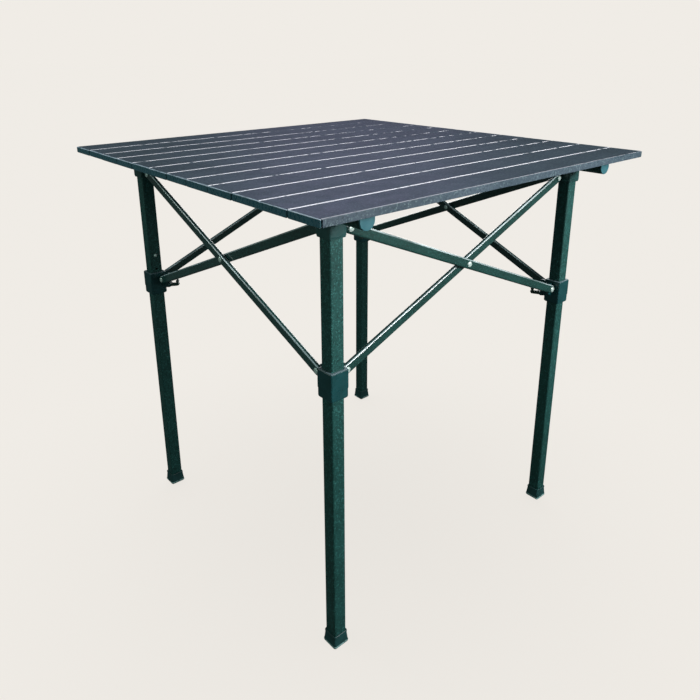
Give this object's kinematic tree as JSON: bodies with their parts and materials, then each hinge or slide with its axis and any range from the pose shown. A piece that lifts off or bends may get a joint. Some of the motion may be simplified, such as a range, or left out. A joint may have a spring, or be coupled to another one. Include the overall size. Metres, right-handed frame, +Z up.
{
  "type": "folding side table",
  "caption": "Square camping side table with a roll-up slatted top on half-round rails, square-tube legs, crossed folding bars and locking sliders.",
  "frame": {"origin": "on the floor under the centre of the table top", "axes": "+Z up, out of the table top; X along the slats; -Y is the edge with the last slat, and the rails run along Y"},
  "size_m": [0.7, 0.7, 0.7],
  "materials": {
    "slat_aluminium": "dark slate-grey painted, fine speckle, satin",
    "rail_aluminium": "dark green powder coat",
    "rail_cap_plastic": "smooth dark teal moulding",
    "leg_tube": "dark green powder coat with a fine texture",
    "cross_bar": "dark green powder coat, glossy edges",
    "leg_cap_plastic": "smooth dark teal moulding",
    "slider_plastic": "smooth dark teal moulding",
    "lever_plastic": "smooth dark green moulding",
    "foot_rubber": "dark teal, worn pale along the lower edge",
    "rivet_zinc": "bright zinc plating"
  },
  "bodies": {
    "front_left_leg": {"leg_front_left": "leg_tube", "foot_front_left": "foot_rubber", "leg_cap_front_left": "leg_cap_plastic", "stop_rivet_front_left": "rivet_zinc"},
    "front_right_leg": {"leg_front_right": "leg_tube", "foot_front_right": "foot_rubber", "leg_cap_front_right": "leg_cap_plastic", "stop_rivet_front_right": "rivet_zinc"},
    "rear_right_leg": {"leg_rear_right": "leg_tube", "foot_rear_right": "foot_rubber", "leg_cap_rear_right": "leg_cap_plastic", "stop_rivet_rear_right": "rivet_zinc"},
    "rear_left_leg": {"leg_rear_left": "leg_tube", "foot_rear_left": "foot_rubber", "leg_cap_rear_left": "leg_cap_plastic", "stop_rivet_rear_left": "rivet_zinc"},
    "front_left_slider": {"slider_front_left": "slider_plastic"},
    "front_right_slider": {"slider_front_right": "slider_plastic"},
    "rear_right_slider": {"slider_rear_right": "slider_plastic"},
    "rear_left_slider": {"slider_rear_left": "slider_plastic"},
    "front_left_lever": {"release_lever_front_left": "lever_plastic"},
    "front_right_lever": {"release_lever_front_right": "lever_plastic"},
    "rear_right_lever": {"release_lever_rear_right": "lever_plastic"},
    "rear_left_lever": {"release_lever_rear_left": "lever_plastic"},
    "front_outer_bar": {"front_outer_bar": "cross_bar", "front_cross_rivet": "rivet_zinc"},
    "front_inner_bar": {"front_inner_bar": "cross_bar"},
    "right_outer_bar": {"right_outer_bar": "cross_bar", "right_cross_rivet": "rivet_zinc"},
    "right_inner_bar": {"right_inner_bar": "cross_bar"},
    "rear_inner_bar": {"rear_inner_bar": "cross_bar", "rear_cross_rivet": "rivet_zinc"},
    "rear_outer_bar": {"rear_outer_bar": "cross_bar"},
    "left_inner_bar": {"left_inner_bar": "cross_bar", "left_cross_rivet": "rivet_zinc"},
    "left_outer_bar": {"left_outer_bar": "cross_bar"},
    "table_top": {"slat_01": "slat_aluminium", "rail_left": "rail_aluminium", "rail_right": "rail_aluminium", "rail_cap_left_front": "rail_cap_plastic", "rail_cap_left_rear": "rail_cap_plastic", "rail_cap_right_front": "rail_cap_plastic", "rail_cap_right_rear": "rail_cap_plastic"},
    "slat_02": {"slat_02": "slat_aluminium"},
    "slat_03": {"slat_03": "slat_aluminium"},
    "slat_04": {"slat_04": "slat_aluminium"},
    "slat_05": {"slat_05": "slat_aluminium"},
    "slat_06": {"slat_06": "slat_aluminium"},
    "slat_07": {"slat_07": "slat_aluminium"},
    "slat_08": {"slat_08": "slat_aluminium"},
    "slat_09": {"slat_09": "slat_aluminium"},
    "slat_10": {"slat_10": "slat_aluminium"},
    "slat_11": {"slat_11": "slat_aluminium"},
    "slat_12": {"slat_12": "slat_aluminium"}
  },
  "joints": [
    {"name": "fold", "type": "hinge", "parent": "front_left_leg", "child": "front_outer_bar", "pos_m": [-0.239, -0.265, 0.655], "axis": [0, 1, 0], "range_deg": [0, 62]},
    {"name": "front_cross", "type": "hinge", "parent": "front_outer_bar", "child": "front_inner_bar", "pos_m": [0, -0.265, 0.555], "axis": [0, 1, 0], "range_deg": [-124, 0]},
    {"name": "front_right_leg_pivot", "type": "hinge", "parent": "front_inner_bar", "child": "front_right_leg", "pos_m": [0.239, -0.265, 0.655], "axis": [0, 1, 0], "range_deg": [0, 62]},
    {"name": "front_left_slider_pivot", "type": "hinge", "parent": "front_inner_bar", "child": "front_left_slider", "pos_m": [-0.239, -0.265, 0.455], "axis": [0, 1, 0], "range_deg": [0, 62]},
    {"name": "front_right_slider_pivot", "type": "hinge", "parent": "front_outer_bar", "child": "front_right_slider", "pos_m": [0.239, -0.265, 0.455], "axis": [0, 1, 0], "range_deg": [-62, 0]},
    {"name": "right_fold", "type": "hinge", "parent": "front_right_leg", "child": "right_outer_bar", "pos_m": [0.265, -0.239, 0.655], "axis": [-1, 0, 0], "range_deg": [0, 62]},
    {"name": "right_cross", "type": "hinge", "parent": "right_outer_bar", "child": "right_inner_bar", "pos_m": [0.265, 0, 0.555], "axis": [-1, 0, 0], "range_deg": [-124, 0]},
    {"name": "rear_right_leg_pivot", "type": "hinge", "parent": "right_inner_bar", "child": "rear_right_leg", "pos_m": [0.265, 0.239, 0.655], "axis": [-1, 0, 0], "range_deg": [0, 62]},
    {"name": "rear_right_slider_pivot", "type": "hinge", "parent": "right_outer_bar", "child": "rear_right_slider", "pos_m": [0.265, 0.239, 0.455], "axis": [-1, 0, 0], "range_deg": [-62, 0]},
    {"name": "left_fold", "type": "hinge", "parent": "front_left_leg", "child": "left_inner_bar", "pos_m": [-0.265, -0.239, 0.655], "axis": [-1, 0, 0], "range_deg": [0, 62]},
    {"name": "left_cross", "type": "hinge", "parent": "left_inner_bar", "child": "left_outer_bar", "pos_m": [-0.265, 0, 0.555], "axis": [-1, 0, 0], "range_deg": [-124, 0]},
    {"name": "rear_left_leg_pivot", "type": "hinge", "parent": "left_outer_bar", "child": "rear_left_leg", "pos_m": [-0.265, 0.239, 0.655], "axis": [-1, 0, 0], "range_deg": [0, 62]},
    {"name": "rear_left_slider_pivot", "type": "hinge", "parent": "left_inner_bar", "child": "rear_left_slider", "pos_m": [-0.265, 0.239, 0.455], "axis": [-1, 0, 0], "range_deg": [-62, 0]},
    {"name": "rear_fold", "type": "hinge", "parent": "rear_left_leg", "child": "rear_inner_bar", "pos_m": [-0.239, 0.265, 0.655], "axis": [0, 1, 0], "range_deg": [0, 62]},
    {"name": "rear_cross", "type": "hinge", "parent": "rear_inner_bar", "child": "rear_outer_bar", "pos_m": [0, 0.265, 0.555], "axis": [0, 1, 0], "range_deg": [-124, 0]},
    {"name": "top_lift", "type": "slide", "parent": "front_left_leg", "child": "table_top", "axis": [0, 0, 1], "range_m": [0, 0.25]},
    {"name": "roll", "type": "hinge", "parent": "table_top", "child": "slat_02", "pos_m": [0, 0.29167, 0.7], "axis": [-1, 0, 0], "range_deg": [0, 28]},
    {"name": "roll_03", "type": "hinge", "parent": "slat_02", "child": "slat_03", "pos_m": [0, 0.23333, 0.7], "axis": [-1, 0, 0], "range_deg": [0, 28]},
    {"name": "roll_04", "type": "hinge", "parent": "slat_03", "child": "slat_04", "pos_m": [0, 0.175, 0.7], "axis": [-1, 0, 0], "range_deg": [0, 28]},
    {"name": "roll_05", "type": "hinge", "parent": "slat_04", "child": "slat_05", "pos_m": [0, 0.11667, 0.7], "axis": [-1, 0, 0], "range_deg": [0, 28]},
    {"name": "roll_06", "type": "hinge", "parent": "slat_05", "child": "slat_06", "pos_m": [0, 0.05833, 0.7], "axis": [-1, 0, 0], "range_deg": [0, 28]},
    {"name": "roll_07", "type": "hinge", "parent": "slat_06", "child": "slat_07", "pos_m": [0, 0, 0.7], "axis": [-1, 0, 0], "range_deg": [0, 28]},
    {"name": "roll_08", "type": "hinge", "parent": "slat_07", "child": "slat_08", "pos_m": [0, -0.05833, 0.7], "axis": [-1, 0, 0], "range_deg": [0, 28]},
    {"name": "roll_09", "type": "hinge", "parent": "slat_08", "child": "slat_09", "pos_m": [0, -0.11667, 0.7], "axis": [-1, 0, 0], "range_deg": [0, 28]},
    {"name": "roll_10", "type": "hinge", "parent": "slat_09", "child": "slat_10", "pos_m": [0, -0.175, 0.7], "axis": [-1, 0, 0], "range_deg": [0, 28]},
    {"name": "roll_11", "type": "hinge", "parent": "slat_10", "child": "slat_11", "pos_m": [0, -0.23333, 0.7], "axis": [-1, 0, 0], "range_deg": [0, 28]},
    {"name": "roll_12", "type": "hinge", "parent": "slat_11", "child": "slat_12", "pos_m": [0, -0.29167, 0.7], "axis": [-1, 0, 0], "range_deg": [0, 28]},
    {"name": "front_left_release", "type": "hinge", "parent": "front_left_slider", "child": "front_left_lever", "pos_m": [-0.24555, -0.24555, 0.4405], "axis": [-0.7071, 0.7071, 0], "range_deg": [0, 18], "stiffness_Nm_per_rad": 0.08, "springref_deg": -14.32},
    {"name": "front_right_release", "type": "hinge", "parent": "front_right_slider", "child": "front_right_lever", "pos_m": [0.24555, -0.24555, 0.4405], "axis": [-0.7071, -0.7071, 0], "range_deg": [0, 18], "stiffness_Nm_per_rad": 0.08, "springref_deg": -14.32},
    {"name": "rear_right_release", "type": "hinge", "parent": "rear_right_slider", "child": "rear_right_lever", "pos_m": [0.24555, 0.24555, 0.4405], "axis": [0.7071, -0.7071, 0], "range_deg": [0, 18], "stiffness_Nm_per_rad": 0.08, "springref_deg": -14.32},
    {"name": "rear_left_release", "type": "hinge", "parent": "rear_left_slider", "child": "rear_left_lever", "pos_m": [-0.24555, 0.24555, 0.4405], "axis": [0.7071, 0.7071, 0], "range_deg": [0, 18], "stiffness_Nm_per_rad": 0.08, "springref_deg": -14.32}
  ],
  "couplings": [
    {"joint": "front_cross", "follows": "fold", "ratio": -2},
    {"joint": "front_right_leg_pivot", "follows": "fold", "ratio": 1},
    {"joint": "front_left_slider_pivot", "follows": "fold", "ratio": 1},
    {"joint": "front_right_slider_pivot", "follows": "fold", "ratio": -1},
    {"joint": "right_fold", "follows": "fold", "ratio": 1},
    {"joint": "right_cross", "follows": "fold", "ratio": -2},
    {"joint": "rear_right_leg_pivot", "follows": "fold", "ratio": 1},
    {"joint": "rear_right_slider_pivot", "follows": "fold", "ratio": -1},
    {"joint": "left_fold", "follows": "fold", "ratio": 1},
    {"joint": "left_cross", "follows": "fold", "ratio": -2},
    {"joint": "rear_left_leg_pivot", "follows": "fold", "ratio": 1},
    {"joint": "rear_left_slider_pivot", "follows": "fold", "ratio": -1},
    {"joint": "rear_fold", "follows": "fold", "ratio": 1},
    {"joint": "rear_cross", "follows": "fold", "ratio": -2},
    {"joint": "roll_03", "follows": "roll", "ratio": 1},
    {"joint": "roll_04", "follows": "roll", "ratio": 1},
    {"joint": "roll_05", "follows": "roll", "ratio": 1},
    {"joint": "roll_06", "follows": "roll", "ratio": 1},
    {"joint": "roll_07", "follows": "roll", "ratio": 1},
    {"joint": "roll_08", "follows": "roll", "ratio": 1},
    {"joint": "roll_09", "follows": "roll", "ratio": 1},
    {"joint": "roll_10", "follows": "roll", "ratio": 1},
    {"joint": "roll_11", "follows": "roll", "ratio": 1},
    {"joint": "roll_12", "follows": "roll", "ratio": 1}
  ]
}
